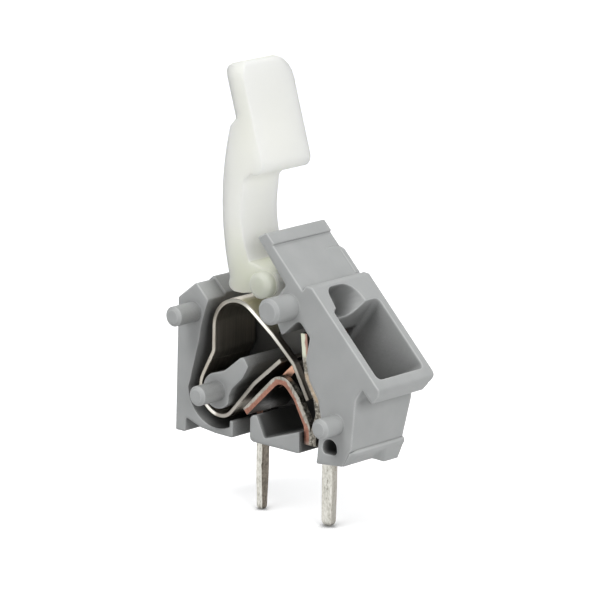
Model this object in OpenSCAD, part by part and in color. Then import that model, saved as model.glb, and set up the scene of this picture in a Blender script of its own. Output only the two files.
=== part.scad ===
// One-pole spring-clamp terminal block for a circuit board, worked by a finger lever.
// X points to the conductor entry, Y runs across the row, Z rises from the board.
// Origin: board surface, midway between the solder pins, middle of the module.
// Profiles are drawn from the rear face (x = 0) and the open near face (y = 0).

/* [Module] */
// Width of one module, equal to the pitch of a row
pitch = 5; // [4.9:0.05:5.2]
// Thickness of the closed side wall
side_wall = 1; // [0.9:0.05:1.1]
// Distance between the two solder pins
pin_spacing = 5; // [4.9:0.05:5.1]
// Distance from the rear face to the rear solder pin
pin_setback = 4.85; // [4.75:0.05:4.95]

/* [Housing] */
// Height of the upright rear face
rear_h = 7.83; // [7.6:0.05:8]
// Height of the rear peak that stops the lever
peak_h = 8.9; // [8.7:0.05:8.95]
// Extra height of the rear peak behind the step
peak_rise = 0.18; // [0.1:0.02:0.2]
// Distance of that step from the near face
step_y = 1.5; // [1.2:0.1:1.8]
// Height of the entry block
block_h = 10.1; // [10:0.05:10.4]
// Height of the ridge on the backstop plate
ridge_h = 12.6; // [12.3:0.1:13]
// Reach of the slanted entry face: its X plus its Z
entry_reach = 20; // [19.9:0.05:20.3]
// Length of the slanted entry face
face_l = 7.04; // [6.9:0.02:7.2]
// Depth of the step from the entry face to the backstop plate
plate_step = 0.98; // [0.9:0.02:1.05]
// Front end of the feet
foot_front = 12.5; // [12.3:0.05:12.6]
// Radius of the post inside the spring loop
post_r = 1.05; // [0.95:0.05:1.15]

/* [Pegs and sockets] */
// Radius of the three small pegs
peg_r = 0.58; // [0.5:0.02:0.6]
// Radius of the large peg
big_peg_r = 0.76; // [0.7:0.02:0.8]
// Length of the pegs
peg_len = 1.85; // [1.65:0.05:1.95]
// Chamfer on the peg tips
peg_chamfer = 0.17; // [0.1:0.01:0.25]
// Radial clearance of a peg in its socket
socket_gap = 0.04; // [0.02:0.01:0.08]

/* [Conductor entry] */
// Width of the entry funnel at the face
funnel_w = 4.05; // [3.8:0.05:4.1]
// Length of the entry funnel along the slanted face
funnel_l = 4.9; // [4.6:0.05:5]
// Depth of the tapered part of the funnel
funnel_depth = 3.4; // [3:0.1:3.6]
// Width of the tool slot above the funnel
tool_w = 2.55; // [2.4:0.05:2.7]
// Depth of the tool slot
tool_depth = 1.6; // [1.3:0.05:1.7]

/* [Lever] */
// Radius of the lever trunnions
trunnion_r = 0.75; // [0.7:0.01:0.78]
// Radial clearance of the trunnion in the side wall
trunnion_gap = 0.04; // [0.02:0.01:0.08]
// Reach of the near trunnion beyond the near face
trunnion_out = 0.45; // [0.3:0.05:0.5]
// Distance of the lever from the near face
lever_y = 0.4; // [0.3:0.05:0.5]
// Width of the lever shaft
lever_w = 3.1; // [2.9:0.05:3.2]
// Width of the finger paddle
paddle_w = 4.2; // [4:0.05:4.3]
// Thickness of the finger paddle
paddle_t = 1.18; // [1.1:0.02:1.25]
// Height of the top of the paddle
paddle_h = 21.85; // [21:0.1:22.5]

/* [Clamp spring] */
// Thickness of the spring strip
spring_t = 0.24; // [0.2:0.01:0.28]
// Distance of spring and current bar from the near face
strip_y = 0.3; // [0.25:0.01:0.35]
// Gap between the strips and the side wall
strip_gap = 0.2; // [0.15:0.01:0.25]
// Width of the rails beside the spring window
window_rail = 0.45; // [0.4:0.02:0.5]

/* [Current bar] */
// Thickness of the current bar
bar_t = 0.45; // [0.42:0.01:0.48]
// Width of the rear solder pin
rear_pin_w = 0.65; // [0.6:0.01:0.75]
// Width of the folded front solder pin across the row
front_pin_w = 0.52; // [0.45:0.01:0.6]
// Thickness of the folded front solder pin
front_pin_t = 0.8; // [0.75:0.01:0.85]
// Length of the solder pins below the board surface
pin_len = 4.2; // [3.5:0.1:5]
// Width of the rails beside the conductor opening
bar_rail = 0.42; // [0.38:0.02:0.46]

/* [Hidden] */
$fn = 48;
seg = 5;
inner_w = pitch - side_wall;
strip_w = inner_w - strip_y - strip_gap;
strip_mid = strip_y + strip_w / 2;
front_pin_x = pin_setback + pin_spacing;
origin_x = pin_setback + pin_spacing / 2;
post = [3.08, 2.85];
pivot = [6.35, 9.6];
peg_rear = [1.2, 7.16];
peg_block = [8.3, 8.68];
peg_front = [11.9, 2.52];
cavity_r = 2.2;
loop_r = 1.4 + spring_t / 2;
leg_a = 45;
rise_a = 62.5;
bar_off = 1.98;
bottom_z = 0.34;
gap_rear = pin_setback - bar_t / 2 - 0.32;
gap_mid = pin_setback + 0.76;
gap_front = front_pin_x - bar_t - 0.12;
plate_reach = entry_reach - plate_step;
rim_h = 0.14;
tool_s = 2.15;
tool_near = 0.86;
tool_tilt = 24;
tool_rim = 0.6;
lip_r = 0.6;
funnel_s = 1.5;

function dir(a) = [cos(a), sin(a)];
function unit(v) = v / norm(v);
function left_of(v) = [-v[1], v[0]];
function flat(p) = [p[0], p[1]];
function arc(c, r, a0, a1, n) = [for (i = [0:n]) c + r * dir(a0 + (a1 - a0) * i / n)];

// Corner b of an outline, rounded with the radius in its third value
function corner(a, b, c) =
  let (r = len(b) > 2 ? b[2] : 0)
  let (p = flat(b))
  let (u = unit(flat(a) - p))
  let (w = unit(flat(c) - p))
  let (half = acos(max(-1, min(1, u * w))) / 2)
  r <= 0 || half > 89 ? [p] :
  let (mid = p + unit(u + w) * r / sin(half))
  let (s0 = p + u * r / tan(half) - mid)
  let (s1 = p + w * r / tan(half) - mid)
  let (a0 = atan2(s0[1], s0[0]))
  let (turn = (atan2(s1[1], s1[0]) - a0 + 540) % 360 - 180)
  arc(mid, r, a0, a0 + turn, seg);

function rounded(v) =
  let (n = len(v))
  [for (i = [0:n - 1]) each corner(v[(i + n - 1) % n], v[i], v[(i + 1) % n])];

function rounded_path(v) =
  let (n = len(v))
  concat([flat(v[0])],
         [for (i = [1:n - 2]) each corner(v[i - 1], v[i], v[i + 1])],
         [flat(v[n - 1])]);

// Sideways step of a bent strip at point i of its centre line
function miter(p, i) =
  let (n = len(p))
  let (a = left_of(unit(i == 0 ? p[1] - p[0] : p[i] - p[i - 1])))
  let (b = left_of(unit(i == n - 1 ? p[i] - p[i - 1] : p[i + 1] - p[i])))
  (a + b) / (1 + a * b);

function strip(p, t) =
  let (n = len(p))
  concat([for (i = [0:n - 1]) p[i] + miter(p, i) * t / 2],
         [for (i = [n - 1:-1:0]) p[i] - miter(p, i) * t / 2]);

// Point on the slanted entry face, s down the slope from its top
function on_entry(s) = [entry_reach / 2 + s * cos(45), entry_reach / 2 - s * sin(45)];

module slab(y0, y1) {
  translate([0, y1, 0])
    rotate([90, 0, 0])
      linear_extrude(height = y1 - y0)
        children();
}

module at_origin() {
  translate([-origin_x, -pitch / 2, 0])
    children();
}

// Plane of the entry face: local X across the row, local Y down the slope, local Z inward
module entry_plane(s) {
  translate([on_entry(s)[0], 0, on_entry(s)[1]])
    rotate([0, 45, 0])
      rotate([0, 180, 0])
        rotate([0, 0, 90])
          children();
}

function box_outline(w, h, r) =
  rounded([[-w / 2, -h / 2, r], [w / 2, -h / 2, r], [w / 2, h / 2, r], [-w / 2, h / 2, r]]);

// Tapered block between an outline and the same outline scaled at the given depth
module frustum(outline, k, h) {
  n = len(outline);
  polyhedron(
    points = concat([for (p = outline) [p[0], p[1], 0]],
                    [for (p = outline) [p[0] * k[0], p[1] * k[1], h]]),
    faces = concat([[for (i = [0:n - 1]) i]],
                   [[for (i = [n - 1:-1:0]) n + i]],
                   [for (i = [0:n - 1]) [i, n + i, (i + 1) % n]],
                   [for (i = [0:n - 1]) [(i + 1) % n, n + i, n + (i + 1) % n]]));
}

function rear_outline(rise) = rounded(concat(
  [[0, 0, 0.08], [0.7, 0, 0.08], [0.74, 0.86, 0.12], [1.9, 0.47, 0.8], [3, bottom_z]],
  [[gap_rear, bottom_z - 0.03, 0.06], [gap_rear, 1.28, 0.06], [gap_rear - 0.22, 1.28, 0.06]],
  arc(post, cavity_r, 297, 184, 12),
  [[1.03, 3.2, 0.5], [1.65, 5.6, 2], [1.75, 6.3, 2], [2.02, 7.25, 2]],
  [[2.3, 8.02 + rise, 0.1], [1.38, peak_h + rise, 0.12], [0.06, rear_h, 0.2]]));

// Corner of the overhanging lip, measured from the lower end of the entry face
function lip(dx, dz, r) = concat(on_entry(face_l) + [dx, dz], [r]);

// Front contour shared by the entry block and the side wall, from the foot up to the backstop plate
function entry_side() = [
  [foot_front + 0.1, 0.42], [foot_front + 0.42, 1.08, 0.05], [foot_front + 0.56, 1.2, 0.05],
  lip(-1.68, -0.82, 0.6), lip(-1.2, -0.14, 0.1), lip(-0.5, -0.86, 0.1),
  lip(-0.06, -0.36, 0.3), lip(0, 0, 0.2),
  [entry_reach - block_h + 0.05, block_h - 0.05, 0.15],
  [entry_reach - block_h - 0.35, block_h - 0.02, 0.15],
  [plate_reach - block_h + 0.36, block_h - 0.36]];

function front_outline() = rounded(concat(
  [[front_pin_x + 0.77, 0.42, 0.1]],
  entry_side(),
  [[plate_reach - ridge_h + 0.6, ridge_h - 0.6], [plate_reach - ridge_h + 0.69, ridge_h - 0.51, 0.05]],
  [[plate_reach - ridge_h + 0.14, ridge_h + 0.04, 0.12], [plate_reach - ridge_h - 0.5, ridge_h - 0.3, 0.12]],
  [[8.08, 9.86, 0.15], [7.62, 9.3, 0.4], [7.2, 8.85, 0.3], [7.2, 8.1, 0.4], [7.84, 6.95, 0.1]],
  [[9.08, 8.06, 0.35], [9.91, 7.17, 0.2], [9.65, 5.85, 0.5], [9.92, 4.72, 0.5]],
  [[front_pin_x + 0.75, 3.7, 0.4], [front_pin_x + 0.99, 2.7, 0.4]]));

function mid_outline() = rounded([
  [gap_mid, 0.38, 0.3], [gap_front, bottom_z, 0.08], [gap_front, 1.6, 0.06],
  [6.7, 0.72, 0.15], [6.08, 1.98, 0.12], [gap_mid, 1.88, 0.35]]);

// Low rim along the far edge of the backstop plate
function rim_outline() = rounded([
  [plate_reach - 11.1 - 0.2, 11.1 - 0.2], [plate_reach - 11.1 + rim_h, 11.1 + rim_h, 0.1],
  [plate_reach - 9.9 + rim_h, 9.9 + rim_h], [plate_reach - 9.9 - 0.2, 9.9 - 0.2]]);

// Side wall: closes the far side and carries the bearing of the lever
function wall_outline() = rounded(concat(
  [[0, 0, 0.08], [0.7, 0, 0.08], [0.72, 0.42, 0.1]],
  entry_side(),
  [[plate_reach - 11.15, 11.15, 0.15], [7.3, 10.72, 0.2]],
  [[pivot[0] - 0.2, pivot[1] + 1.55, 1.2], [4.6, 9.15 + peak_rise, 0.8]],
  [[1.6, peak_h + peak_rise, 0.2], [1.38, peak_h + peak_rise, 0.12], [0.06, rear_h, 0.2]]));

module peg(at, r, short = 0) {
  translate([at[0], 0, at[1]])
    rotate([90, 0, 0]) {
      translate([0, 0, -0.5])
        cylinder(r = r, h = peg_len - short - peg_chamfer + 0.5);
      translate([0, 0, peg_len - short - peg_chamfer])
        cylinder(r1 = r, r2 = r - peg_chamfer, h = peg_chamfer);
    }
}

module socket(at, r) {
  translate([at[0], pitch + 0.1, at[1]])
    rotate([90, 0, 0])
      cylinder(r = r + socket_gap, h = peg_len + 0.2);
}

// Mouth of the tapered tool slot, round towards the far side
function tool_outline() = rounded([
  [-tool_w / 2, -tool_s / 2, 0.6], [tool_w / 2, -tool_s / 2, 1.05],
  [tool_w / 2, tool_s / 2, 1.05], [-tool_w / 2, tool_s / 2, 0.3]]);

module entry_cut() {
  entry_plane(funnel_s + funnel_l / 2)
    translate([pitch / 2, 0, -0.01])
      frustum(box_outline(funnel_w, funnel_l, 0.35), [0.8, 0.7], funnel_depth);
  entry_plane(funnel_s + funnel_l / 2)
    translate([inner_w / 2 + 0.1, 0, funnel_depth - 0.4])
      linear_extrude(height = 4)
        polygon(box_outline(inner_w - 1, funnel_l * 0.68, 0.3));
  entry_plane(face_l + 0.16)
    translate([pitch, 0, -0.5])
      linear_extrude(height = 2)
        difference() {
          translate([-lip_r, -lip_r])
            square(2 * lip_r);
          translate([-lip_r, -lip_r])
            circle(r = lip_r);
        }
  entry_plane(tool_s / 2 + 0.08)
    translate([tool_near + tool_w / 2, 0, 0])
      rotate([tool_tilt, 0, 0])
        translate([0, 0, -tool_rim])
          frustum(1.2 * tool_outline(), [0.35, 0.42], tool_depth + tool_rim);
}

module post_outline() {
  polygon(concat(arc(post, post_r, 100, 325, 18),
                 [for (q = [[0.88, -0.14], [1.1, 0.31], [1.88, 1.07]]) post + q],
                 rounded([post + [2.1, 1.45],
                          concat(post + [2.3, 1.82], [0.12]),
                          concat(post + [1.95, 2.3], [0.12]),
                          concat(post + [1.72, 2.24], [0.1]),
                          concat(post + [0.72, 1.42], [0.05]),
                          post + [0.5, 1.26]])));
}

module housing() {
  color([0.63, 0.64, 0.65])
    at_origin()
      difference() {
        union() {
          slab(inner_w, pitch)
            polygon(wall_outline());
          slab(0, step_y)
            polygon(rear_outline(0));
          slab(step_y, inner_w + 0.1)
            polygon(rear_outline(peak_rise));
          slab(0, pitch)
            polygon(front_outline());
          slab(pitch - 0.35, pitch)
            polygon(rim_outline());
          slab(0, inner_w + 0.1)
            polygon(mid_outline());
          slab(0, inner_w + 0.1)
            post_outline();
          slab(0, 2.2)
            polygon(rounded([[front_pin_x + 0.71, 0.02, 0.1], [foot_front, 0.2, 0.12],
                             [foot_front + 0.14, 0.6], [front_pin_x + 0.81, 0.6]]));
          slab(3.1, inner_w + 0.2)
            polygon(rounded([[front_pin_x + 0.75, 0, 0.1], [foot_front + 0.5, 0, 0.15],
                             [foot_front + 0.5, 1], [front_pin_x + 0.81, 1]]));
          peg(peg_rear, peg_r);
          peg(post, peg_r);
          peg(peg_block, big_peg_r);
          peg(peg_front, peg_r, 0.35);
        }
        socket(peg_rear, peg_r);
        socket(post, peg_r);
        socket(peg_block, big_peg_r);
        socket(peg_front, peg_r);
        translate([pivot[0], pitch + 0.1, pivot[1]])
          rotate([90, 0, 0])
            cylinder(r = trunnion_r + trunnion_gap, h = side_wall + 0.2);
        slab(-0.1, 1.4)
          polygon(rounded([[front_pin_x + 1.15, 0.72, 0.25], [foot_front - 0.45, 0.72, 0.25],
                             [foot_front - 0.45, 1.6, 0.5], [front_pin_x + 1.15, 1.6, 0.5]]));
        translate([foot_front + 0.2, pitch, 3.45])
          rotate([-12, 0, 0])
            translate([0, 0, -6])
              cube([3, 1, 6]);
        entry_cut();
      }
}

// Lever: curved shaft with a cam lobe at its foot and a wide, tilted finger paddle
shaft_rear = [19.9, 14.2];
shaft_front = [10.8, 13.5];
tilt = 17.3;
paddle_nose = [5.22, 16.22];

function shaft_outline() = rounded(concat(
  [[3.95, 18.9, 0.2]],
  arc(shaft_rear, 17, 166.2, 196, 12),
  [[3.42, 9, 0.35], [3.85, 8.76, 0.5], [4.6, 8.76, 1.5], [5.4, 8.95, 0.5]],
  arc(pivot, trunnion_r + 0.05, -100, 75, 14),
  [[6.05, 10.42, 0.6]],
  arc(shaft_front, 6.5, 206, 170, 10),
  [[4.42, 15.2, 0.5], [5, 15.72, 0.1], [4.9, 17.5]]));

function paddle_outline() =
  let (up = [-sin(tilt), cos(tilt)])
  let (out = [cos(tilt), sin(tilt)])
  let (l = (paddle_h - paddle_nose[1]) / cos(tilt))
  rounded(concat(
    arc(paddle_nose, paddle_t / 2, tilt - 180, tilt, 10),
    [concat(paddle_nose + l * up + out * paddle_t / 2, [0.35])],
    [concat(paddle_nose + l * up - out * paddle_t / 2, [0.35])]));

module operating_lever() {
  color([0.93, 0.92, 0.86])
    at_origin()
      union() {
        slab(lever_y, lever_y + lever_w)
          polygon(shaft_outline());
        intersection() {
          slab(lever_y, lever_y + paddle_w)
            polygon(paddle_outline());
          translate([2, lever_y + paddle_w / 2, (paddle_h + 15) / 2])
            rotate([90, 0, 90])
              linear_extrude(height = 5)
                polygon(rounded([[-paddle_w / 2, (15 - paddle_h) / 2, 0.4],
                                 [paddle_w / 2, (15 - paddle_h) / 2, 0.4],
                                 [paddle_w / 2, (paddle_h - 15) / 2 + 0.1, 1.4],
                                 [-paddle_w / 2, (paddle_h - 15) / 2 + 0.2, 1]]));
        }
        translate([pivot[0], lever_y + lever_w - 0.2, pivot[1]])
          rotate([-90, 0, 0])
            cylinder(r = trunnion_r, h = inner_w + side_wall / 2 - lever_y - lever_w + 0.2);
        translate([pivot[0], lever_y + 0.2, pivot[1]])
          rotate([90, 0, 0])
            cylinder(r = trunnion_r, h = lever_y + trunnion_out);
        translate([pivot[0], 0.2 - trunnion_out, pivot[1]])
          rotate([90, 0, 0])
            cylinder(r1 = trunnion_r, r2 = trunnion_r - 0.2, h = 0.2);
      }
}

// Clamp spring: short leg on the current bar, loop round the post, long leg with a window
loop_top = [4.2, 6.56];
top_r = 1.7;
long_a = -34;
long_mid = [6.9, 6.72];
long_bend = [8.46, 5.36];
long_end = [9.57, 3.42];

function short_leg() = rounded_path([
  post + [4.44, 2.53], concat(post + [2.47, 0.8], [3]),
  concat(post + [0.5, -loop_r], [1.05]), post - [0, loop_r]]);

// Where the loop leaves the post and rises to the upper bend
function rise() = post + loop_r * dir(rise_a + 90);

function spring_path() = concat(
  short_leg(),
  arc(post, loop_r, -92, rise_a - 270, 20),
  rounded_path([rise() + 0.2 * dir(rise_a),
                [loop_top[0] - top_r, rise()[1] + (loop_top[0] - top_r - rise()[0]) * tan(rise_a), 0.5],
                loop_top - [top_r, 0.3]]),
  arc(loop_top, top_r, 180, long_a + 90, 14),
  rounded_path([loop_top + top_r * dir(long_a + 90) + 0.2 * dir(long_a),
                concat(long_mid, [3]), concat(long_bend, [1]), long_end]));

function long_leg() = rounded_path([
  long_mid, concat(long_bend, [1]), long_end + 0.62 * unit(long_bend - long_end)]);

module clamp_spring() {
  color([0.75, 0.75, 0.74])
    at_origin()
      difference() {
        slab(strip_y, strip_y + strip_w)
          polygon(strip(spring_path(), spring_t));
        slab(strip_y + window_rail, strip_y + strip_w - window_rail)
          polygon(strip(long_leg(), spring_t + 0.3));
      }
}

// Current bar: rear pin, sloping leg, tongue through the spring window, folded front pin, guide frame
function bar_leg(s) = post + bar_off * dir(leg_a - 90) + s * dir(leg_a);
rear_s = (pin_setback - bar_leg(0)[0]) / cos(leg_a);
rear_bend = bar_leg(rear_s);
front_in = front_pin_x - bar_t / 2 - 0.04;
front_out = front_pin_x + bar_t / 2 - 0.06;
frame_top = [9.2, 7.25];
frame_bend = [9.36, 5.85];

// Strip over the apex, from s on the sloping leg down to the given height at the front pin
function over_apex(s, z) = rounded_path([
  bar_leg(s), concat(bar_leg(4.42), [0.82]),
  [front_in - 0.86, 3.41, 1], [front_in, 1.9, 0.8], [front_in, z]]);

// Guide frame round the conductor path, from the given height to a distance below its top
function guide_path(z, below) = rounded_path([
  [front_out, z], [front_out, 1.5, 0.5], [front_pin_x + 0.57, 2.7, 0.6], [front_pin_x + 0.37, 3.65, 0.6],
  [9.58, 4.7, 0.6], concat(frame_bend, [1]), frame_top + below * unit(frame_bend - frame_top)]);

module bar_strip(path, y0, y1, t = bar_t) {
  slab(y0, y1)
    polygon(strip(path, t));
}

// Full-width strip with an opening that leaves two rails
module bar_frame(path, opening) {
  difference() {
    bar_strip(path, strip_y, strip_y + strip_w);
    bar_strip(opening, strip_y + bar_rail, strip_y + strip_w - bar_rail, bar_t + 0.3);
  }
}

module pin_taper(x, w, z0) {
  // Upright cutter in front view: leaves the pin width below z0, a tapered tip at the end
  translate([x - 1, strip_mid, 0])
    rotate([90, 0, 90])
      linear_extrude(height = 2)
        polygon([[-w / 2, z0], [-w / 2, 0.7 - pin_len], [-w / 4, -pin_len], [w / 4, -pin_len],
                 [w / 2, 0.7 - pin_len], [w / 2, z0]]);
}

module current_bar() {
  color([0.78, 0.76, 0.73])
    at_origin()
      union() {
        bar_frame(over_apex(rear_s + 0.14, 0.86), over_apex(3.2, 1.5));
        bar_frame(guide_path(0.86, 0), guide_path(1.35, 0.55));
        bar_strip([bar_leg(3.1), bar_leg(5.15)],
                  strip_y + window_rail + 0.28, strip_y + strip_w - window_rail - 0.28);
        intersection() {
          bar_strip(rounded_path([bar_leg(2.2), concat(rear_bend, [0.3]), [pin_setback, -pin_len]]),
                    strip_mid - rear_pin_w / 2, strip_mid + rear_pin_w / 2);
          union() {
            pin_taper(pin_setback, rear_pin_w, 1);
            translate([0, 0, 0.9])
              cube([9, pitch, 5]);
          }
        }
        front_pin();
      }
}

module front_pin() {
  slab(strip_mid - front_pin_w / 2, strip_mid + front_pin_w / 2)
    polygon(rounded([[front_pin_x - front_pin_t / 2, 1], [front_pin_x - front_pin_t / 2, -pin_len, 0.3],
                     [front_pin_x + front_pin_t / 2, -pin_len, 0.3], [front_pin_x + front_pin_t / 2, 1]]));
}

housing();
operating_lever();
clamp_spring();
current_bar();
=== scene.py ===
import math

import bmesh
import bpy
from mathutils import Matrix, Vector


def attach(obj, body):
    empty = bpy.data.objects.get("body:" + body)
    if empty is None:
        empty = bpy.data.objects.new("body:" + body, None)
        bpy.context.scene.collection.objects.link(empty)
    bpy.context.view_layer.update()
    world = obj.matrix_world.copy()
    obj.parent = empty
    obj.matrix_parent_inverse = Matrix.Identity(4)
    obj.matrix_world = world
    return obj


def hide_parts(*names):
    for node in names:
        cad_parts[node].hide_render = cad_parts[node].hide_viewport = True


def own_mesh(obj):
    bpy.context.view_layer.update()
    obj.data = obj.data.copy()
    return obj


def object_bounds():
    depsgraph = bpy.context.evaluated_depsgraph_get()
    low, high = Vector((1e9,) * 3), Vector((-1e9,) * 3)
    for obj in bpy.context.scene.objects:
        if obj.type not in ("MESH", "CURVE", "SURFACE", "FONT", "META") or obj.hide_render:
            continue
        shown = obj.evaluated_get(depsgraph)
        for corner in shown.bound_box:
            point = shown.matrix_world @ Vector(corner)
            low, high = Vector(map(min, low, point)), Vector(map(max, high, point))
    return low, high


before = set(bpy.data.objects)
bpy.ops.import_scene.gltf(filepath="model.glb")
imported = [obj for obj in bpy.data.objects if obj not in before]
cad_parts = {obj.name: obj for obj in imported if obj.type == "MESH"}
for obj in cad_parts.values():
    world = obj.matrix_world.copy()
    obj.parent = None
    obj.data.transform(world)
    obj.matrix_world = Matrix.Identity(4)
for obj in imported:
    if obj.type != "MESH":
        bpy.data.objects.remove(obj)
cad_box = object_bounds()
scene = bpy.context.scene
scene.view_settings.view_transform = "Standard"

# Sizes and places are in millimetres in the row's frame, and this factor makes metres of them
MM = 0.001

# Where the spring is cut into a fixed base and an arm: at this height, on the leg behind SPLIT_X
SPLIT_Z = 4.5 * MM
SPLIT_X = -3.8 * MM

# Agreement of a softened normal with the flat one: at a full edge and on an open face
EDGE_BEND = (0.86, 0.985)
# Part of a noise's range that the roughness is spread over
NOISE_RANGE = (0.3, 0.7)


# Shader helpers

class Shader:
    """A material with its node tree and short ways to add and join nodes."""

    def __init__(self, name):
        self.mat = bpy.data.materials.new(name)
        self.mat.use_nodes = True
        self.nodes = self.mat.node_tree.nodes
        self.links = self.mat.node_tree.links
        self.nodes.clear()
        self.out = self.nodes.new("ShaderNodeOutputMaterial")

    def add(self, kind, **values):
        node = self.nodes.new("ShaderNode" + kind)
        for key, value in values.items():
            setattr(node, key, value)
        return node

    def join(self, a, b):
        self.links.new(a, b)

    def fill(self, socket, value):
        """Set a socket to a number or colour, or join an output to it."""
        if isinstance(value, (int, float)):
            socket.default_value = value
        elif isinstance(value, tuple):
            socket.default_value = (*value, 1) if socket.type == "RGBA" else value
        else:
            self.join(value, socket)

    def coords(self, scale=(1, 1, 1)):
        """Place in the row's frame in millimetres, scaled along each axis."""
        where = self.add("TexCoord")
        mapping = self.add("Mapping")
        mapping.inputs["Scale"].default_value = [s / MM for s in scale]
        self.join(where.outputs["Object"], mapping.inputs["Vector"])
        return mapping.outputs["Vector"]

    def locate(self):
        """Make self.at, the place on the piece, and self.axes, its parts and those of the direction."""
        self.at = self.coords()
        self.axes = {}
        for prefix, vector in (("", self.at), ("facing_", self.add("NewGeometry").outputs["Normal"])):
            parts = self.add("SeparateXYZ")
            self.join(vector, parts.inputs[0])
            for axis in "XYZ":
                self.axes[prefix + axis.lower()] = parts.outputs[axis]

    def noise(self, vector, scale, detail, rough):
        n = self.add("TexNoise")
        n.inputs["Scale"].default_value = scale
        n.inputs["Detail"].default_value = detail
        n.inputs["Roughness"].default_value = rough
        self.join(vector, n.inputs["Vector"])
        return n.outputs["Fac"]

    def ramp(self, fac, stops):
        """Colours along a factor, from a list of places and colours."""
        r = self.add("ValToRGB")
        ends = r.color_ramp.elements
        while len(ends) < len(stops):
            ends.new(0.5)
        for end, (place, colour) in zip(ends, stops):
            end.position = place
            end.color = (*colour, 1)
        self.join(fac, r.inputs["Fac"])
        return r.outputs["Color"]

    def math(self, op, a, b=None, clamp=False):
        m = self.add("Math", operation=op, use_clamp=clamp)
        for socket, value in zip(m.inputs, (a, b)):
            if value is not None:
                self.fill(socket, value)
        return m.outputs[0]

    def product(self, first, *others):
        for other in others:
            first = self.math("MULTIPLY", first, other)
        return first

    def inverse(self, mask):
        return self.math("SUBTRACT", 1.0, mask)

    def size(self, axis):
        """A part of the place or direction without its sign."""
        return self.math("ABSOLUTE", self.axes[axis])

    def weigh(self, a, b, share):
        """Average of two values, with a share of the first."""
        return self.math("ADD", self.product(a, share), self.product(b, 1 - share))

    def span(self, value, lo, hi, to_lo=0.0, to_hi=1.0):
        """Smooth change from to_lo, where the value is lo, to to_hi, where it is hi."""
        m = self.add("MapRange", clamp=True, interpolation_type="SMOOTHSTEP")
        for name, v in zip(("From Min", "From Max", "To Min", "To Max"), (lo, hi, to_lo, to_hi)):
            m.inputs[name].default_value = v
        self.join(value, m.inputs["Value"])
        return m.outputs["Result"]

    def grow(self, value, lo, hi, top=1.0):
        return self.span(value, lo, hi, 0.0, top)

    def fade(self, value, lo, hi, top=1.0):
        return self.span(value, lo, hi, top, 0.0)

    def zone(self, weight=1.0, **limits):
        """Mask with soft limits: the product of one smooth change for each limit.

        x_from=(1, 2) grows from X = 1 to X = 2, and z_to=(3, 4) fades from Z = 3 to Z = 4.
        A limit on facing_x, facing_y or facing_z holds for the surface's direction."""
        masks = []
        for key, (lo, hi) in limits.items():
            axis, sense = key.rsplit("_", 1)
            change = self.grow if sense == "from" else self.fade
            masks.append(change(self.axes[axis], lo, hi))
        mask = self.product(*masks)
        return mask if weight == 1.0 else self.product(mask, weight)

    def beyond(self, point, normal):
        """Distance from a line in the side view, positive along its normal."""
        dot = self.add("VectorMath", operation="DOT_PRODUCT")
        self.join(self.at, dot.inputs[0])
        dot.inputs[1].default_value = (normal[0], 0, normal[1])
        return self.math("SUBTRACT", dot.outputs["Value"], normal[0] * point[0] + normal[1] * point[1])

    def mix(self, fac, a, b):
        m = self.add("Mix", data_type="RGBA")
        for socket, value in zip((m.inputs[0], m.inputs[6], m.inputs[7]), (fac, a, b)):
            self.fill(socket, value)
        return m.outputs[2]

    def soft_edge(self, radius):
        """Normal with edges rounded to the given radius."""
        b = self.add("Bevel", samples=8)
        b.inputs["Radius"].default_value = radius * MM
        return b.outputs["Normal"]

    def edges(self, soft):
        """1 along edges where the softened normal leaves the flat one, 0 on open faces."""
        dot = self.add("VectorMath", operation="DOT_PRODUCT")
        self.join(soft, dot.inputs[0])
        self.join(self.add("NewGeometry").outputs["Normal"], dot.inputs[1])
        return self.fade(dot.outputs["Value"], *EDGE_BEND)

    def open_sky(self, reach):
        """Share of the surroundings that a point sees within a reach."""
        ao = self.add("AmbientOcclusion", samples=8)
        ao.inputs["Distance"].default_value = reach * MM
        return ao.outputs["AO"]

    def bump(self, height, strength, distance, normal):
        b = self.add("Bump")
        b.inputs["Strength"].default_value = strength
        b.inputs["Distance"].default_value = distance * MM
        self.join(height, b.inputs["Height"])
        self.join(normal, b.inputs["Normal"])
        return b.outputs["Normal"]

    def principled(self, **sockets):
        p = self.add("BsdfPrincipled")
        for name, value in sockets.items():
            self.fill(p.inputs[name.replace("_", " ")], value)
        self.join(p.outputs[0], self.out.inputs["Surface"])


# Housing material

GREY_CLOUDS = [(0.3, (0.37, 0.377, 0.373)), (0.7, (0.41, 0.417, 0.412))]
GREY_HIGHLIGHT = (0.68, 0.687, 0.68)
GREY_RECESS_SHADE = (0.055, 0.055, 0.053)
GREY_UNDER_BAR_SHADE = (0.03, 0.03, 0.028)


def painted_recess_shade(s, chamber):
    """Painted shade in recesses, most of all in the clamp chamber, less at its rear and where light gets
    in.
    """
    sky = s.open_sky(reach=7)
    shallow = s.fade(sky, 0.15, 0.72, top=0.78)
    deep = s.fade(sky, 0.2, 0.92, top=0.95)
    recess_shade = s.math("ADD", shallow, s.product(chamber, s.math("SUBTRACT", deep, shallow)))
    lit = s.product(chamber, s.zone(0.28, x_from=(-3.3, -2.5), z_from=(4.6, 5.4)))
    rear = s.span(s.axes["x"], -5.3, -4.6, 0.82, 1.0)
    return s.product(recess_shade, s.inverse(lit), rear)


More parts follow.
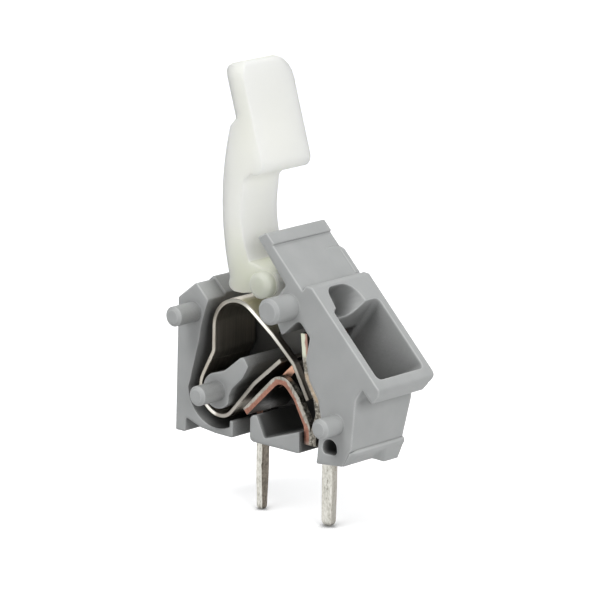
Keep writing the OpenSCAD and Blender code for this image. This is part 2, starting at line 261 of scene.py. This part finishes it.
def grey_moulding():
    """Matt polyamide: fine spark-eroded grain, faint flow clouds, painted highlights on the edges and
    painted shade in the recesses.
    """
    s = Shader("grey_moulding")
    s.locate()
    clouds = s.noise(s.at, scale=0.55, detail=4, rough=0.55)
    grain = s.noise(s.at, scale=26, detail=2, rough=0.6)
    soft = s.soft_edge(0.24)
    chamber = s.zone(x_to=(1.8, 2.6), z_to=(7.6, 8.6))
    colour = s.ramp(clouds, GREY_CLOUDS)
    # Painted highlights along the edges, but little round the clamp chamber, apart from the pegs that stand
    # out of it
    edge_highlight = s.product(s.edges(soft), s.grow(s.open_sky(reach=0.6), 0.55, 0.8))
    chamber_highlight_cut = s.product(chamber, s.zone(0.34, y_from=(-2.75, -2.6)))
    colour = s.mix(s.product(edge_highlight, s.math("SUBTRACT", 0.5, chamber_highlight_cut)), colour, GREY_HIGHLIGHT)
    # Painted highlight on the top of the bead at the foot of the front wall, too
    bead = s.zone(0.5, facing_z_from=(0.05, 0.6), x_from=(5.55, 5.7), z_to=(1.24, 1.3))
    colour = s.mix(bead, colour, GREY_HIGHLIGHT)
    # Painted shade in the recesses
    colour = s.mix(painted_recess_shade(s, chamber), colour, GREY_RECESS_SHADE)
    # Painted shade on the slope of the middle block under the current bar, the darkest place
    under_bar_shade = s.zone(0.75, x_from=(-1.6, -1.3), x_to=(2.2, 2.4), y_from=(-2.45, -2.15), z_to=(2.4, 3.0),
                 facing_x_from=(0.4, 0.7))
    colour = s.mix(under_bar_shade, colour, GREY_UNDER_BAR_SHADE)
    s.principled(Base_Color=colour, Roughness=s.span(grain, *NOISE_RANGE, 0.46, 0.6),
                 Normal=s.bump(grain, strength=0.12, distance=0.02, normal=soft), Specular_IOR_Level=0.4,
                 Subsurface_Weight=0.06, Subsurface_Radius=(0.4, 0.4, 0.4), Subsurface_Scale=MM)
    return s.mat


# Lever material

WHITE_CLOUDS = [(0.3, (0.9, 0.912, 0.775)), (0.7, (0.92, 0.932, 0.795))]
WHITE_SHAFT_LIGHT = (0.965, 0.98, 0.83)
WHITE_FRONT_LIGHT = (0.98, 0.99, 0.86)
WHITE_FOOT_SHADE = (0.61, 0.63, 0.515)
WHITE_TRUNNION_SHADE = (0.53, 0.545, 0.46)


def white_moulding():
    """Natural translucent moulding: painted light makes it pale on the shaft and the front faces, where
    light passes through, and painted olive shade lies towards the foot and on the near end of the trunnion.
    """
    s = Shader("white_moulding")
    s.locate()
    clouds = s.noise(s.at, scale=0.35, detail=3, rough=0.5)
    grain = s.noise(s.at, scale=18, detail=2, rough=0.6)
    colour = s.ramp(clouds, WHITE_CLOUDS)
    # Painted light: paler below the paddle, on the shaft, standing in for light through the plastic
    colour = s.mix(s.zone(z_to=(16.5, 19.0)), colour, WHITE_SHAFT_LIGHT)
    # Painted light: paler on the faces towards the front, which the plate shades
    front = s.zone(facing_x_from=(0.3, 0.8))
    colour = s.mix(s.product(front, 0.8), colour, WHITE_FRONT_LIGHT)
    # Painted olive shade towards the foot, less on the faces towards the front
    foot = s.product(s.zone(0.83, z_to=(8.5, 13.5)), s.inverse(front))
    colour = s.mix(foot, colour, WHITE_FOOT_SHADE)
    # Painted shade on the near end of the trunnion
    colour = s.mix(s.zone(y_to=(-2.3, -2.1), z_to=(10.3, 10.6)), colour, WHITE_TRUNNION_SHADE)
    s.principled(Base_Color=colour, Roughness=s.span(grain, *NOISE_RANGE, 0.5, 0.62),
                 Normal=s.bump(grain, strength=0.06, distance=0.02, normal=s.soft_edge(0.22)),
                 Specular_IOR_Level=0.25, Subsurface_Weight=0.9, Subsurface_Radius=(2.8, 2.8, 2.8),
                 Subsurface_Scale=MM)
    return s.mat


# Spring material

STEEL_FACE = ((0.47, 0.435, 0.37), (0.6, 0.565, 0.5))
STEEL_LINE = (0.24, 0.215, 0.18)
STEEL_SHADE = (0.03, 0.028, 0.024)
STEEL_TOP_LIGHT = (0.88, 0.82, 0.74)
STEEL_LEG_SHADE = (0.07, 0.056, 0.043)
STEEL_EDGE = [(0.35, (0.36, 0.33, 0.28)), (0.65, (0.56, 0.53, 0.47))]
STEEL_LONG_LEG_SHADE_TO_HIGHLIGHT = ((0.36, 0.348, 0.305), (0.92, 0.9, 0.84))
STEEL_LOOP_SHADE = (0.24, 0.24, 0.21)
STEEL_SHORT_LEG_SHADE = ((0.2, 0.187, 0.165), (0.36, 0.345, 0.315))
STEEL_POST_HIGHLIGHT = (0.9, 0.885, 0.82)
STEEL_TIP_SHADE = (0.16, 0.148, 0.125)
STEEL_CORNER_SHADE = (0.08, 0.072, 0.06)


def strip_face(s, lines, stains):
    """Rolled faces: painted dark brown shade in the hollows, most inside the loop, painted light on the top
    faces, painted shade on the outside of the long leg.
    """
    face = s.mix(stains, *STEEL_FACE)
    face = s.mix(s.fade(lines, 0.35, 0.65, top=0.35), face, STEEL_LINE)
    # Painted light on the top faces
    top_light = s.zone(facing_z_from=(0.3, 0.7))
    shade = s.product(s.fade(s.open_sky(reach=2), 0.1, 0.6, top=0.28), s.inverse(top_light))
    face = s.mix(shade, face, STEEL_SHADE)
    face = s.mix(top_light, face, STEEL_TOP_LIGHT)
    # Painted shade on the outside of the long leg
    leg_shade = s.zone(0.85, x_from=(-2.2, -1.6), z_to=(6.4, 7.6), facing_x_from=(0.3, 0.6))
    return s.mix(leg_shade, face, STEEL_LEG_SHADE)


def slit_edge(s, stains):
    """Slit edges: painted shade on the loops, the short leg and the tip of the long leg, painted highlights
    on the upper long leg and by the post.
    """
    edge = s.ramp(stains, STEEL_EDGE)
    # Painted shade low on the long leg, painted highlight higher up
    long_leg_light = s.mix(s.zone(z_from=(5.6, 7.6)), *STEEL_LONG_LEG_SHADE_TO_HIGHLIGHT)
    edge = s.mix(s.zone(x_from=(-3.2, -2.0), z_from=(4.6, 5.6), z_to=(8.2, 8.6)), edge, long_leg_light)
    # Painted shade on the upper loop and the short leg
    edge = s.mix(s.zone(0.75, z_from=(7.9, 8.25)), edge, STEEL_LOOP_SHADE)
    short_leg_shade = s.zone(0.8, x_from=(-4.7, -4.3), x_to=(0.1, 0.4), z_to=(4.9, 5.3))
    edge = s.mix(short_leg_shade, edge, s.mix(stains, *STEEL_SHORT_LEG_SHADE))
    # Painted highlight by the post, painted shade at the tip of the long leg
    edge = s.mix(s.zone(0.8, x_to=(-4.75, -4.5), z_to=(1.7, 2.0)), edge, STEEL_POST_HIGHLIGHT)
    return s.mix(s.zone(0.8, x_from=(0.6, 1.2), z_to=(4.4, 5.4)), edge, STEEL_TIP_SHADE)


def spring_steel():
    """Rolled strip: brown-grey faces with fine lines along the strip, slit edges with painted shade on
    their corners.
    """
    s = Shader("spring_steel")
    s.locate()
    lines = s.noise(s.coords((0.1, 5, 0.1)), scale=3.0, detail=4, rough=0.6)
    stains = s.noise(s.at, scale=0.5, detail=3, rough=0.6)
    soft = s.soft_edge(0.1)
    slit = s.grow(s.size("facing_y"), 0.7, 0.95)
    colour = s.mix(slit, strip_face(s, lines, stains), slit_edge(s, stains))
    # Painted shade on the corners, but not at the cut between base and arm, which the real strip doesn't
    # have
    from_cut = s.math("ABSOLUTE", s.math("SUBTRACT", s.axes["z"], SPLIT_Z / MM))
    corners = s.product(s.edges(soft), s.grow(from_cut, 0.1, 0.18, top=0.8))
    colour = s.mix(corners, colour, STEEL_CORNER_SHADE)
    s.principled(Base_Color=colour, Metallic=1.0, Roughness=s.span(lines, *NOISE_RANGE, 0.32, 0.42),
                 Normal=s.bump(lines, strength=0.015, distance=0.004, normal=soft))
    return s.mat


# Current bar material

TIN = [(0.38, (0.16, 0.145, 0.12)), (0.46, (0.29, 0.277, 0.243)), (0.58, (0.42, 0.402, 0.362))]
TIN_ROLLED_SHADE = (0.2, 0.18, 0.15)
TIN_SHADE = (0.03, 0.027, 0.022)
TIN_SPECKLED_DARK = [(0.38, (0.04, 0.037, 0.03)), (0.5, (0.15, 0.139, 0.117)), (0.66, (0.45, 0.425, 0.37))]
COPPER_CUT = [(0.36, (0.16, 0.075, 0.053)), (0.6, (0.36, 0.178, 0.13))]
COPPER_FRESH = (0.85, 0.5, 0.35)
PIN_TIN = [(0.36, (0.13, 0.12, 0.095)), (0.44, (0.52, 0.51, 0.455)), (0.6, (0.74, 0.73, 0.68))]
PIN_REAR_SIDE_SHADE = [(0.4, (0.05, 0.04, 0.029)), (0.56, (0.17, 0.14, 0.108))]
PIN_FRONT_SIDE_SHADE = (0.24, 0.22, 0.19)
PIN_FOLD = (0.2, 0.14, 0.105)
GUIDE_CREAM = (0.6, 0.63, 0.5)
GUIDE_COPPER = (0.3, 0.16, 0.13)
GUIDE_TAN = ((0.2, 0.15, 0.105), (0.62, 0.5, 0.37))

# Middle lines of the bent rails in the side view: a point and the outward normal
RAIL_LEG = ((-2.87, 1.45), (-0.7071, 0.7071))
RAIL_BENDS = (((0, 4.22), (0, 1)), ((1.375, 3.41), (0.73, 0.683)),
              ((1.375, 3.41), (0.869, 0.495)), ((2.235, 1.9), (1, 0)))
# Lines in the guide: the inner side of its copper border, and its outer side where it leans out
GUIDE_BORDER = ((2.01, 5.85), (0.9935, 0.1136))
GUIDE_LEAN = ((2.23, 4.7), (0.854, 0.52))


def tinned_pins(s, colour, streak):
    """Pins: bright pitted streaks, painted brown shade on the rear one's side towards the front, painted
    shade on that side of the front one, and a fold on the front one.
    """
    below = s.zone(z_to=(0.2, 0.7))
    pits = s.weigh(s.noise(s.coords((4, 4, 2)), scale=2.2, detail=4, rough=0.65), streak, 0.7)
    colour = s.mix(s.product(below, 0.75), colour, s.ramp(pits, PIN_TIN))
    # Painted brown shade on the rear pin's side that faces the front
    rear_side_shade = s.product(below, s.zone(0.88, x_to=(-1.0, -0.5), facing_x_from=(0.5, 0.8)))
    colour = s.mix(rear_side_shade, colour, s.ramp(pits, PIN_REAR_SIDE_SHADE))
    front = s.product(below, s.zone(x_from=(0.5, 1.0)))
    # Painted shade on the front pin's side that faces the front
    colour = s.mix(s.product(front, s.zone(0.5, facing_x_from=(0.6, 0.9))), colour, PIN_FRONT_SIDE_SHADE)
    fold = s.product(front, s.zone(0.8, y_from=(-0.33, -0.24), facing_x_from=(0.2, 0.6)))
    return s.mix(fold, colour, PIN_FOLD)


def tinned_guide(s, colour, speckle, blotch):
    """Guide above the conductor: cream plating, bare copper along its border, tan where it leans out."""
    upper = s.zone(x_from=(1.3, 1.5), z_from=(5.7, 6.1))
    colour = s.mix(s.product(upper, 0.8), colour, GUIDE_CREAM)
    ragged = s.product(s.math("SUBTRACT", blotch, 0.5), 0.3)
    border = s.grow(s.math("ADD", s.beyond(*GUIDE_BORDER), ragged), 0.03, 0.13, top=0.9)
    colour = s.mix(s.product(upper, border), colour, GUIDE_COPPER)
    lean = s.product(s.zone(z_from=(3.3, 3.6), z_to=(4.8, 5.1)),
                     s.grow(s.beyond(*GUIDE_LEAN), -0.22, -0.1, top=0.8))
    return s.mix(lean, colour, s.mix(speckle, *GUIDE_TAN))


def bare_copper(s, outward, speckle):
    """Inner part of the rails' cut edges, with a wavy border that shifts along the strip."""
    wavy = s.math("ADD", outward, s.product(s.math("SUBTRACT", speckle, 0.5), 0.16))
    wavy = s.math("ADD", wavy, s.zone(0.08, x_from=(0.2, 1.4)))
    wavy = s.math("SUBTRACT", wavy, s.zone(0.2, z_to=(1.4, 2.4)))
    return s.fade(wavy, 0.0, 0.07)


def tinned_copper():
    """Tin-plated copper strip: speckled, streaky plating, copper on the inner part of the cut edges."""
    s = Shader("tinned_copper")
    s.locate()
    speckle = s.noise(s.at, scale=5.5, detail=5, rough=0.7)
    streak = s.noise(s.coords((3, 3, 0.35)), scale=1.6, detail=4, rough=0.65)
    blotch = s.noise(s.at, scale=1.6, detail=3, rough=0.6)
    leg = s.beyond(*RAIL_LEG)
    outward = leg
    for line in RAIL_BENDS:
        outward = s.math("MAXIMUM", outward, s.beyond(*line))
    cut = s.grow(s.size("facing_y"), 0.8, 0.95)
    above = s.zone(z_from=(0.6, 1.2))
    # Painted shade on the rolled faces and underneath; the plating is darker and speckled round the
    # clamping point
    tin = s.ramp(s.weigh(speckle, streak, 0.5), TIN)
    colour = s.mix(s.grow(s.size("facing_x"), 0.6, 0.9, top=0.45), tin, TIN_ROLLED_SHADE)
    colour = tinned_pins(s, colour, streak)
    clamped = s.product(s.grow(outward, 0.14, 0.24),
                        s.zone(x_from=(0.75, 1.1), z_from=(0.2, 0.5), z_to=(5.6, 6.0)))
    colour = s.mix(s.product(clamped, 0.9), colour, s.ramp(speckle, TIN_SPECKLED_DARK))
    colour = tinned_guide(s, colour, speckle, blotch)
    # Painted shade underneath
    colour = s.mix(s.product(above, s.zone(0.9, facing_z_to=(-0.6, -0.2))), colour, TIN_SHADE)
    bare = s.product(cut, above, bare_copper(s, outward, speckle))
    colour = s.mix(bare, colour, s.ramp(s.weigh(blotch, speckle, 0.5), COPPER_CUT))
    # Painted shade on hidden parts, less at the clamping point
    hidden_shade = s.product(above, s.fade(s.open_sky(reach=3), 0.15, 0.8, top=0.92))
    colour = s.mix(s.product(hidden_shade, s.inverse(s.product(clamped, 0.8))), colour, TIN_SHADE)
    # The tongue's cut sides are fresh copper
    tongue = s.product(s.zone(y_from=(-1.9, -1.6), z_from=(4.3, 4.4), z_to=(5.3, 5.4)),
                       s.fade(s.math("ABSOLUTE", leg), 0.2, 0.28))
    colour = s.mix(s.product(tongue, cut), colour, COPPER_FRESH)
    s.principled(Base_Color=colour, Metallic=1.0, Roughness=s.span(speckle, *NOISE_RANGE, 0.3, 0.48),
                 Normal=s.bump(speckle, strength=0.25, distance=0.02, normal=s.soft_edge(0.06)))
    return s.mat


def dress(obj, material):
    """Give an object one material, on the object itself."""
    obj.data.materials.clear()
    obj.data.materials.append(material)
    for slot in obj.material_slots:
        slot.link = "OBJECT"
        slot.material = material


GREY = grey_moulding()
STEEL = spring_steel()
COPPER = tinned_copper()
dress(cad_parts["housing"], GREY)
dress(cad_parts["operating_lever"], white_moulding())


# Mesh helpers

SAME_POINT = 1e-7        # metres between corners that are one corner
ON_PLANE = 1e-8          # metres from a cutting plane that count as on it
SHARP = math.radians(32)  # a bend over this angle stays a sharp edge


def ease(value, lo, hi):
    """0 up to lo, 1 from hi on, and a smooth change between."""
    t = min(1.0, max(0.0, (value - lo) / (hi - lo)))
    return t * t * (3 - 2 * t)


def copy_of(node):
    """The mesh of a CAD node, with its corners joined."""
    bm = bmesh.new()
    bm.from_mesh(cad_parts[node].data)
    bmesh.ops.remove_doubles(bm, verts=bm.verts, dist=SAME_POINT)
    return bm


def close_holes(bm):
    rim = [e for e in bm.edges if e.is_boundary]
    if rim:
        bmesh.ops.holes_fill(bm, edges=rim, sides=0)


def loft(bm, rings):
    """Closed skin over a row of outlines with equal numbers of points."""
    rings = [[bm.verts.new(v) for v in ring] for ring in rings]
    for a, b in zip(rings, rings[1:]):
        for j in range(len(a)):
            k = (j + 1) % len(a)
            bm.faces.new((a[j], a[k], b[k], b[j]))
    bm.faces.new(rings[0])
    bm.faces.new(rings[-1])


def shade_smooth(bm):
    """Smooth shading with sharp edges kept."""
    for f in bm.faces:
        f.smooth = True
    for e in bm.edges:
        e.smooth = e.calc_face_angle(0) < SHARP


def finished(bm, name, material, smooth=True):
    """Object made of the mesh, riding on the module."""
    bmesh.ops.recalc_face_normals(bm, faces=bm.faces)
    if smooth:
        shade_smooth(bm)
    mesh = bpy.data.meshes.new(name)
    bm.to_mesh(mesh)
    bm.free()
    obj = bpy.data.objects.new(name, mesh)
    scene.collection.objects.link(obj)
    dress(obj, material)
    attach(obj, "module")
    return obj


# Clamp spring: cut into a base with its lower loop and an arm with its upper loop and long leg, the part
# that gives under the lever on the real terminal

def connected(start):
    """All corners that edges join to one corner."""
    seen = {start}
    todo = [start]
    while todo:
        for edge in todo.pop().link_edges:
            for v in edge.verts:
                if v not in seen:
                    seen.add(v)
                    todo.append(v)
    return seen


def spring_half(bm, name, fixed, keep_fixed):
    """Piece made of the corners that are, or aren't, in the fixed half."""
    half = bm.copy()
    half.verts.ensure_lookup_table()
    gone = [v for v in half.verts if (v.index in fixed) != keep_fixed]
    bmesh.ops.delete(half, geom=gone, context="VERTS")
    close_holes(half)
    piece = finished(half, name, STEEL, smooth=False)
    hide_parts("clamp_spring")
    return piece


def spring_arm():
    """Cut the spring's rear leg, make both halves and return the arm."""
    bm = copy_of("clamp_spring")
    faces = [f for f in bm.faces if f.calc_center_median().x < SPLIT_X]
    edges = {e for f in faces for e in f.edges}
    verts = {v for f in faces for v in f.verts}
    cut = bmesh.ops.bisect_plane(bm, geom=list(verts) + list(edges) + faces, dist=ON_PLANE,
                                 plane_co=(0, 0, SPLIT_Z), plane_no=(0, 0, 1))
    seam = [g for g in cut["geom_cut"] if isinstance(g, bmesh.types.BMEdge)]
    bmesh.ops.split_edges(bm, edges=seam)
    bm.verts.ensure_lookup_table()
    fixed = {v.index for v in connected(min(bm.verts, key=lambda v: v.co.z))}
    spring_half(bm, "clamp_spring_base", fixed, keep_fixed=True)
    arm = spring_half(bm, "clamp_spring_arm", fixed, keep_fixed=False)
    bm.free()
    return arm


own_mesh(spring_arm())


# Front bead: the rounded rail along the bottom of the front wall, which runs out into the far foot

BEAD_REACH = 5.63           # X of the bead's middle
BEAD_HEIGHT = 0.97          # Z of the bead's middle
BEAD_R = 0.24
BEAD_ARC = (90, -40)        # degrees, from the top of the bead to its lower front
BEAD_ARC_STEPS = 10
BEAD_DEPTH = 0.4            # how far the top reaches back into the wall
BEAD_NEAR = -2.47           # Y of the near end, just inside the near face
BEAD_FAR = 1.73             # Y of the far end of the foot at board level
BEAD_STEPS = 24             # sections along the bead
BEAD_LEAN = 0.3             # lean of the far end, per height
BEAD_START = 0.3            # share of the radius at the near end
BEAD_START_LENGTH = 0.5     # length over which it grows to the full radius
BEAD_START_BACK = 0.1       # how far the near end stands back
SLOPE_NEAR = (5.18, 0.21)   # X and Z of the lower edge of the slope below the bead
SLOPE_FOOT = (5.64, 0.0)    # the same edge at the far foot
SLOPE_UNDER = (-0.3, 0.02)  # from that edge to the inner edge of the underside
FOOT_FROM, FOOT_TO = 0.0, 0.58


def bead_section(y):
    """Closed outline across the bead at y."""
    grown = ease(y, BEAD_NEAR, BEAD_NEAR + BEAD_START_LENGTH)
    radius = BEAD_R * (BEAD_START + (1 - BEAD_START) * grown)
    middle = BEAD_REACH - BEAD_START_BACK * (1 - grown)
    foot = ease(y, FOOT_FROM, FOOT_TO)
    low_x, low_z = (a + (b - a) * foot for a, b in zip(SLOPE_NEAR, SLOPE_FOOT))
    outline = []
    for i in range(BEAD_ARC_STEPS + 1):
        turn = math.radians(BEAD_ARC[0] + (BEAD_ARC[1] - BEAD_ARC[0]) * i / BEAD_ARC_STEPS)
        outline.append((middle + radius * math.cos(turn), BEAD_HEIGHT + radius * math.sin(turn)))
    outline.append((low_x, low_z))
    outline.append((low_x + SLOPE_UNDER[0], low_z + SLOPE_UNDER[1]))
    outline.append((middle - BEAD_DEPTH, BEAD_HEIGHT + radius))
    lean = BEAD_LEAN * ease(y, FOOT_TO, BEAD_FAR)
    return [Vector((x, y + lean * z, z)) * MM for x, z in outline]


def front_bead():
    rows = [BEAD_NEAR + (BEAD_FAR - BEAD_NEAR) * i / BEAD_STEPS for i in range(BEAD_STEPS + 1)]
    bm = bmesh.new()
    loft(bm, [bead_section(y) for y in rows])
    finished(bm, "housing_front_bead", GREY)


front_bead()


# Plate rim: the rise of the backstop plate towards the low rim on its far edge

PLATE_REACH = 11.67         # X plus Z on the plate's surface
RIM_TOP, RIM_END = 11.35, 9.72               # Z of its upper and lower end
RIM_FROM, RIM_AT, RIM_FAR = 0.9, 2.15, 2.48  # Y where the rise starts, where the rim is and of its far side
RIM_RISE = 0.135            # rise along X and along Z
RIM_RUN = 0.3               # height over which the rise grows at the upper end
RIM_POWER = 2.5             # how late the rise comes
RIM_START = -0.001          # the rise starts just under the plate's surface
RIM_SINK = -0.05            # underside, in the plate
RIM_ACROSS, RIM_ALONG = 8, 16                # steps of its surface


def rim_section(z):
    """Closed outline across the rim at height z."""
    rise = RIM_RISE * ease(RIM_TOP - z, 0, RIM_RUN)
    across = []
    for i in range(RIM_ACROSS + 1):
        share = i / RIM_ACROSS
        across.append((RIM_FROM + (RIM_AT - RIM_FROM) * share, rise * share ** RIM_POWER + RIM_START))
    across += [(RIM_FAR, rise), (RIM_FAR, RIM_SINK), (RIM_FROM, RIM_SINK)]
    return [Vector((PLATE_REACH - z + up, y, z + up)) * MM for y, up in across]


def plate_rim():
    heights = [RIM_TOP + (RIM_END - RIM_TOP) * i / RIM_ALONG for i in range(RIM_ALONG + 1)]
    bm = bmesh.new()
    loft(bm, [rim_section(z) for z in heights])
    finished(bm, "housing_plate_rim", GREY)


plate_rim()


# Current bar: its solder pins get the rounded edges and tips of coined strip

PIN_END = cad_box[0][2] / MM
PIN_CUT = 0.6               # height at which the rounded pins take over
TAPER_LENGTH = 2.5          # length of the tapered end
CORNER_STEPS = 4            # steps round each corner of a pin
SHANK_STEPS, TIP_STEPS = 12, 6
CORNERS = ((1, 1), (-1, 1), (-1, -1), (1, -1))

# Middle and size in X and Y, radius of the edges, how far the tip draws in along X and Y, over what length,
# and how much each side tapers along X and Y
REAR_PIN = dict(middle=(-2.5, -0.45), size=(0.45, 0.65), edge=0.05, tip=(0.14, 0.16), tip_length=0.26,
                taper=(0.0, 0.1))
FRONT_PIN = dict(middle=(2.5, -0.45), size=(0.8, 0.52), edge=0.1, tip=(0.32, 0.2), tip_length=0.36,
                 taper=(0.03, 0.0))


def pin_section(pin, z, drawn_in):
    """Rounded rectangle across a pin at height z, drawn in towards the tip by a share of 0 to 1."""
    tapered = ease(PIN_END + TAPER_LENGTH - z, 0, TAPER_LENGTH)
    half = [s / 2 - i * drawn_in - t * tapered for s, i, t in zip(pin["size"], pin["tip"], pin["taper"])]
    radius = min(pin["edge"], *half)
    ring = []
    for i, corner in enumerate(CORNERS):
        for j in range(CORNER_STEPS + 1):
            turn = math.radians(90 * (i + j / CORNER_STEPS))
            x = pin["middle"][0] + corner[0] * (half[0] - radius) + radius * math.cos(turn)
            y = pin["middle"][1] + corner[1] * (half[1] - radius) + radius * math.sin(turn)
            ring.append(Vector((x, y, z)) * MM)
    return ring


def add_pin(bm, pin):
    """Straight shank with a rounded tip."""
    shank_end = PIN_END + pin["tip_length"]
    levels = [(PIN_CUT + (shank_end - PIN_CUT) * i / SHANK_STEPS, 0.0) for i in range(SHANK_STEPS + 1)]
    for i in range(1, TIP_STEPS + 1):
        turn = math.radians(90 * i / TIP_STEPS)
        levels.append((PIN_END + pin["tip_length"] * (1 - math.sin(turn)), 1 - math.cos(turn)))
    loft(bm, [pin_section(pin, z, drawn_in) for z, drawn_in in levels])


def formed_bar():
    """The current bar's own mesh above PIN_CUT, with new pins below."""
    bm = copy_of("current_bar")
    bmesh.ops.bisect_plane(bm, geom=list(bm.verts) + list(bm.edges) + list(bm.faces), dist=ON_PLANE,
                           plane_co=(0, 0, PIN_CUT * MM), plane_no=(0, 0, -1), clear_outer=True)
    close_holes(bm)
    for pin in (REAR_PIN, FRONT_PIN):
        add_pin(bm, pin)
    piece = finished(bm, "current_bar_formed", COPPER)
    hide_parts("current_bar")


formed_bar()


# Camera: the photograph's angle, long lens

AZIMUTH = math.radians(40.15)
ELEVATION = math.radians(13.68)
ROLL = math.radians(1.19)
TARGET = Vector((-0.34, 0, 8.42)) * MM
DISTANCE = 275.6 * MM
IMAGE_WIDTH = 600           # pixels
FOCAL_LENGTH = 4873         # pixels
SENSOR_WIDTH = 36           # millimetres on the camera's own sensor
CLIP_START = 0.01           # metres


def photo_camera():
    flat = math.cos(ELEVATION)
    away = Vector((math.sin(AZIMUTH) * flat, -math.cos(AZIMUTH) * flat, math.sin(ELEVATION)))
    level = Vector((math.cos(AZIMUTH), math.sin(AZIMUTH), 0))
    upright = away.cross(level)
    right = math.cos(ROLL) * level + math.sin(ROLL) * upright
    up = math.cos(ROLL) * upright - math.sin(ROLL) * level
    lens = bpy.data.cameras.new("camera")
    lens.sensor_width = SENSOR_WIDTH
    lens.lens = FOCAL_LENGTH / IMAGE_WIDTH * SENSOR_WIDTH
    lens.clip_start = CLIP_START
    camera = bpy.data.objects.new("camera", lens)
    scene.collection.objects.link(camera)
    turn = Matrix((right, up, away)).transposed().to_4x4()
    camera.matrix_world = Matrix.Translation(TARGET + away * DISTANCE) @ turn
    scene.camera = camera


photo_camera()


# Floor, background and lamps: places, sizes and powers are in metres and watts

FLOOR_HALF = 6.0
FLOOR_GREY = ((0.15, 0.15, 0.15), (0.7, 0.7, 0.7))   # in the contact shadow and in the open
FLOOR_GLOW = ((0.3, 0.3, 0.3), (1, 1, 1))
GLOW_STRENGTH = 0.7
SKY_COLOUR = (0.93, 0.96, 1, 1)
SKY_STRENGTH = 0.22
WHITE = (1, 1, 1, 1)
CENTRE = Vector((0, 0, 0.008))
LAMPS = (
    dict(name="key", place=(-0.04, -0.21, 0.36), size=0.24, power=1.06),
    dict(name="front", place=(0.35, -0.1, 0.16), size=0.22, power=0.76),
    dict(name="rear", place=(-0.05, 0.37, 0.11), size=0.3, power=0.38),
)


def floor_material():
    """Pale floor with a contact shadow, white to the camera and in reflections."""
    s = Shader("floor")
    diffuse = s.add("BsdfDiffuse")
    glow = s.add("Emission")
    contact = s.span(s.open_sky(reach=3), 0.5, 1.02)
    s.join(s.mix(contact, *FLOOR_GREY), diffuse.inputs["Color"])
    s.join(s.mix(contact, *FLOOR_GLOW), glow.inputs["Color"])
    path = s.add("LightPath")
    mirrored = s.math("ADD", path.outputs["Is Glossy Ray"], path.outputs["Is Transmission Ray"])
    seen = s.math("ADD", path.outputs["Is Camera Ray"], mirrored, clamp=True)
    s.join(s.product(seen, GLOW_STRENGTH), glow.inputs["Strength"])
    both = s.add("AddShader")
    s.join(diffuse.outputs[0], both.inputs[0])
    s.join(glow.outputs[0], both.inputs[1])
    s.join(both.outputs[0], s.out.inputs["Surface"])
    return s.mat


def floor():
    z = cad_box[0][2]
    corners = [(x * FLOOR_HALF, y * FLOOR_HALF, z) for x, y in ((-1, -1), (1, -1), (1, 1), (-1, 1))]
    mesh = bpy.data.meshes.new("floor")
    mesh.from_pydata(corners, [], [(0, 1, 2, 3)])
    mesh.materials.append(floor_material())
    obj = bpy.data.objects.new("floor", mesh)
    scene.collection.objects.link(obj)


def background(nodes, colour, strength):
    node = nodes.new("ShaderNodeBackground")
    node.inputs["Color"].default_value = colour
    node.inputs["Strength"].default_value = strength
    return node


def sky():
    """Soft light from all sides, white to the camera and in reflections."""
    world = bpy.data.worlds.new("studio")
    world.use_nodes = True
    scene.world = world
    nodes, links = world.node_tree.nodes, world.node_tree.links
    nodes.clear()
    path = nodes.new("ShaderNodeLightPath")
    seen = path.outputs["Is Camera Ray"]
    for kind in ("Is Glossy Ray", "Is Transmission Ray"):
        either = nodes.new("ShaderNodeMath")
        either.operation = "MAXIMUM"
        links.new(seen, either.inputs[0])
        links.new(path.outputs[kind], either.inputs[1])
        seen = either.outputs[0]
    choice = nodes.new("ShaderNodeMixShader")
    links.new(seen, choice.inputs[0])
    links.new(background(nodes, SKY_COLOUR, SKY_STRENGTH).outputs[0], choice.inputs[1])
    links.new(background(nodes, WHITE, 1.0).outputs[0], choice.inputs[2])
    out = nodes.new("ShaderNodeOutputWorld")
    links.new(choice.outputs[0], out.inputs["Surface"])


def lamp(name, place, size, power):
    """Round soft lamp that looks at the object."""
    data = bpy.data.lights.new(name, "AREA")
    data.shape = "DISK"
    data.size = size
    data.energy = power
    obj = bpy.data.objects.new(name, data)
    scene.collection.objects.link(obj)
    place = Vector(place)
    turn = (place - CENTRE).to_track_quat("Z", "Y").to_matrix().to_4x4()
    obj.matrix_world = Matrix.Translation(place) @ turn


floor()
sky()
for values in LAMPS:
    lamp(**values)
